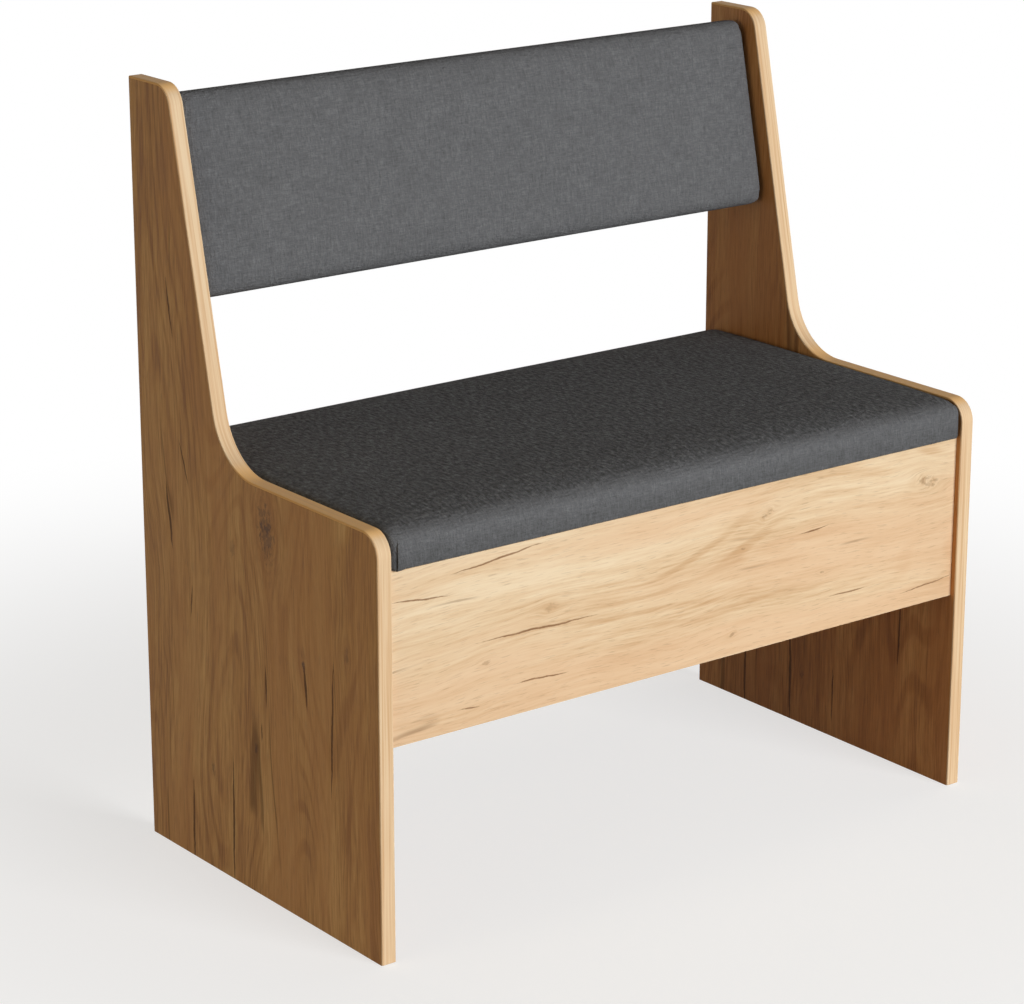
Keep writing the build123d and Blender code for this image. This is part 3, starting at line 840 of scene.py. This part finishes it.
# %% Seat
seat_low, seat_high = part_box("seat_cover")
seat_place = Matrix.Translation((0.0, (seat_low.y + seat_high.y) / 2, seat_low.z))
seat_roll = ((0.004, 0.004), (0.024, 0.015))
seat_pad, seat_pad_low, seat_pad_high = make_pad(
    "seat_pad", "seat_cover", seat_place, seat_roll,
    corner=(0.0105, 0.004), fall=(0.002, 0.11), crown=0.0015, pressure=0.2, bulge=0.0012,
)
pleats = []
for face, corner_side, free_edge, head in (
    ((1, -1), -1, 0.3590, 0.034),
    ((1, 1), -1, 0.3590, 0.034),
    ((0, 1), -1, 0.1990, 0.026),
    ((0, 1), 1, 0.1990, 0.026),
):
    pleat_name = "pleat_" + str(len(pleats))
    pleats.append(lay_pleat(pleat_name, seat_pad, face, corner_side, free_edge, head))
join_pieces(seat_pad, pleats)
finish_pad(
    seat_pad, seat_place, seat_pad_low, seat_pad_high, seat_cloth,
    "seat_cover", "seat_foam", "seat_lid",
)

# %% [markdown]
# ## Backrest
# The backrest leans with the raked edge of the panels, so its flat frame is turned by that rake. It has
# softer rolls all round than the seat. It rides on the carcass, and replaces the backrest's cover and
# foam.

# %% Backrest
rake = math.atan2(0.080, 0.3675)
up_slope = Vector((0.0, math.sin(rake), math.cos(rake)))
out_of_slope = Vector((0.0, -math.cos(rake), math.sin(rake)))
back_low, back_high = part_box("backrest_board")
back_middle = (back_low + back_high) / 2
back_place = Matrix.Translation(back_middle) @ Matrix((
    (1.0, 0.0, 0.0, 0.0),
    (0.0, up_slope.y, out_of_slope.y, 0.0),
    (0.0, up_slope.z, out_of_slope.z, 0.0),
    (0.0, 0.0, 0.0, 1.0),
))
back_roll = ((0.016, 0.014), (0.018, 0.015))
back_pad, back_pad_low, back_pad_high = make_pad(
    "backrest_pad", "backrest_cover", back_place, back_roll,
    corner=(0.0117, 0.0117), fall=(0.001, 0.05), crown=0.003, pressure=0.3, bulge=-0.0003,
)
finish_pad(
    back_pad, back_place, back_pad_low, back_pad_high, grey_cloth,
    "backrest_cover", "backrest_foam", "carcass",
)

# %% [markdown]
# ## Staples
# The turned cloth is stapled to the boards. One staple is modelled: a short bar is cut twice, its two
# ends are drawn out into legs, and the edges of its crown are bevelled, as the wire is round. It is then
# copied along the margin, each copy a little askew.


# %% One staple
staple_size = (0.0110, 0.0012, 0.0008)
staple_leg = 0.0060
leg_inside = 0.0043


def make_staple():
    bpy.ops.object.select_all(action="DESELECT")
    bpy.ops.mesh.primitive_cube_add(size=1.0, location=(0.0, 0.0, -0.0002), scale=staple_size)
    wire = bpy.context.object
    wire.name = "staple"
    bpy.ops.object.transform_apply(location=True, rotation=True, scale=True)
    for side in (-1, 1):
        start_edit(wire)
        bpy.ops.mesh.select_all(action="SELECT")
        bpy.ops.mesh.bisect(plane_co=(side * leg_inside, 0.0, 0.0), plane_no=(1.0, 0.0, 0.0))
        end_edit()
    net = start_edit(wire)
    bpy.ops.mesh.select_mode(type="FACE")
    for tile in net.faces:
        tile.select_set(tile.normal.z > 0.9 and abs(tile.calc_center_median().x) > leg_inside)
    bpy.ops.mesh.extrude_region_move(TRANSFORM_OT_translate={"value": (0.0, 0.0, staple_leg)})
    bpy.ops.mesh.select_mode(type="EDGE")
    bpy.ops.mesh.select_all(action="DESELECT")
    net = bmesh.from_edit_mesh(wire.data)
    for edge in net.edges:
        low_edge = max(corner.co.z for corner in edge.verts) < -0.0005
        crossing = len({round(corner.co.y, 6) for corner in edge.verts}) == 2
        edge.select_set(low_edge and not (crossing and abs(edge.verts[0].co.x) < 0.005))
    bpy.ops.mesh.bevel(offset=0.00025, segments=2)
    bpy.ops.mesh.select_all(action="SELECT")
    bpy.ops.mesh.normals_make_consistent(inside=False)
    end_edit()
    return wire


staple = make_staple()
print("one staple has", len(staple.data.polygons), "faces")

# %% [markdown]
# ## Staples along the margins
# A row of staples could be an array, but each staple must miss the hinge leaves and the brackets. So the
# places are listed first, those near a covering piece are left out, and the copies are joined into one
# piece for each pad.


# %% Staples along the margins
staple_step = 0.040
staple_inset = 0.034
corner_room = 0.075


def staple_pad(name, place, low, high, body, covers):
    """Copies the staple along all four margins of a pad, except where another piece covers them."""
    spots = []
    for step in range(-8, 9):
        spots.extend((step * staple_step, side * (high.y - staple_inset), 0.0) for side in (-1, 1))
    for step in range(-3, 4):
        across = step * staple_step
        if abs(across) < high.y - corner_room:
            spots.extend((side * (high.x - staple_inset), across, math.pi / 2) for side in (-1, 1))
    copies = []
    for along, across, turn in spots:
        skew = 0.12 * math.sin(along * 91.0 + across * 57.0)
        spot = place @ Matrix.Translation((along, across, low.z)) @ Matrix.Rotation(turn + skew, 4, "Z")
        middle = spot.translation
        if any(is_near(middle, cover) for cover in covers):
            continue
        copied = bpy.data.objects.new(name, staple.data.copy())
        copied.data.transform(spot)
        bpy.context.scene.collection.objects.link(copied)
        copies.append(copied)
    row = join_pieces(copies[0], copies[1:])
    row.name = name
    row.data.materials.clear()
    row.data.materials.append(zinc_steel)
    bpy.ops.object.shade_smooth_by_angle(angle=math.radians(50.0))
    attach(row, body)
    print(name, "has", len(copies), "staples and", len(row.data.polygons), "faces")


def is_near(point, node_name):
    room = Vector((0.009, 0.009, 0.009))
    low_corner, high_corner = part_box(node_name)
    return all((low_corner - room)[axis] < point[axis] < (high_corner + room)[axis] for axis in range(3))


leaves = ["left_hinge_seat_leaf", "right_hinge_seat_leaf"]
brackets = [node_name for node_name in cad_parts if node_name.endswith("backrest_bracket")]
seat_covers = [*leaves, "rear_rail", "front_apron"]
staple_pad("seat_staples", seat_place, seat_pad_low, seat_pad_high, "seat_lid", seat_covers)
staple_pad("backrest_staples", back_place, back_pad_low, back_pad_high, "carcass", brackets)
bpy.data.objects.remove(staple)

# %% [markdown]
# ## Floor, light and background
# The photo is a studio shot: a broad light in front of the bench, low and a little to the right, so that
# the tops of the pads stay dark and the left sides lie in shade. Low lamps on the right and behind show
# those sides in other views, and are too low to light the tops. The floor and the background are white
# to the camera, and the floor keeps a soft shadow.


# %% Floor, light and background
def soft_lamp(name, place, aim, size, power, colour):
    lamp = bpy.data.objects.new(name, bpy.data.lights.new(name, "AREA"))
    lamp.data.shape = "RECTANGLE"
    lamp.data.size, lamp.data.size_y = size
    lamp.data.energy = power
    lamp.data.color = colour
    lamp.location = place
    lamp.rotation_euler = (Vector(aim) - Vector(place)).to_track_quat("-Z", "Y").to_euler()
    bpy.context.scene.collection.objects.link(lamp)


soft_lamp("key_light", (1.3, -6.5, 1.85), (0.0, 0.0, 0.45), (3.2, 2.2), 419.0, (1.0, 0.99, 0.97))
soft_lamp("left_fill", (-3.2, -0.4, 0.9), (0.0, 0.0, 0.4), (2.0, 1.6), 20.5, (1.0, 0.83, 0.57))
soft_lamp("right_fill", (3.4, -0.2, 0.40), (0.0, 0.0, 0.4), (2.0, 0.6), 32.0, (1.0, 0.95, 0.86))
soft_lamp("rear_fill", (0.6, 4.5, 0.35), (0.0, 0.0, 0.45), (2.4, 0.5), 65.0, (1.0, 0.98, 0.95))


def seen_directly(finish):
    """One for rays that show the background: from the camera, off gloss and through glass."""
    camera_ray = finish.node("ShaderNodeLightPath", {}, {}, output=0)
    glossy_ray = finish.node("ShaderNodeLightPath", {}, {}, output=3)
    clear_ray = finish.node("ShaderNodeLightPath", {}, {}, output=6)
    return camera_ray.math("MAXIMUM", camera_ray, glossy_ray.math("MAXIMUM", glossy_ray, clear_ray))


world = Finish(bpy.data.worlds.new("white_studio"))
bpy.context.scene.world = world.owner
world_light = world.tree.nodes["Background"]
world_colour = world.mix(seen_directly(world), (1.0, 0.76, 0.52, 1.0), (1.0, 1.0, 1.0, 1.0))
world.feed(world_light.inputs["Color"], world_colour)
world_strength = 0.080
world.feed(world_light.inputs["Strength"], world_strength + seen_directly(world) * (1.0 - world_strength))

bpy.ops.object.select_all(action="DESELECT")
bpy.ops.mesh.primitive_plane_add(size=40.0)
floor = bpy.context.object
floor.name = "floor"
white_floor = new_finish("white_floor")
floor_x, floor_y = white_floor.axes()[:2]
far_square = floor_x * floor_x + floor_y * floor_y
away = white_floor.ease(far_square.math("SQRT", far_square), 0.4, 1.5)
direct = seen_directly(white_floor)
floor_glow = 0.65
floor_tint = white_floor.mix(direct, (0.40, 0.36, 0.32, 1.0), (0.39, 0.40, 0.41, 1.0))
lit = white_floor.node("ShaderNodeBsdfDiffuse", {}, {"Color": floor_tint})
glow = white_floor.node("ShaderNodeEmission", {}, {"Strength": direct * floor_glow})
near = white_floor.node("ShaderNodeAddShader", {}, {0: lit, 1: glow})
white = white_floor.node("ShaderNodeEmission", {}, {"Strength": direct})
ground = white_floor.node("ShaderNodeMixShader", {}, {0: away, 1: near, 2: white})
white_floor.feed(white_floor.tree.nodes["Material Output"].inputs["Surface"], ground)
floor.data.materials.append(white_floor.owner)
print("floor, four lamps and a white background")
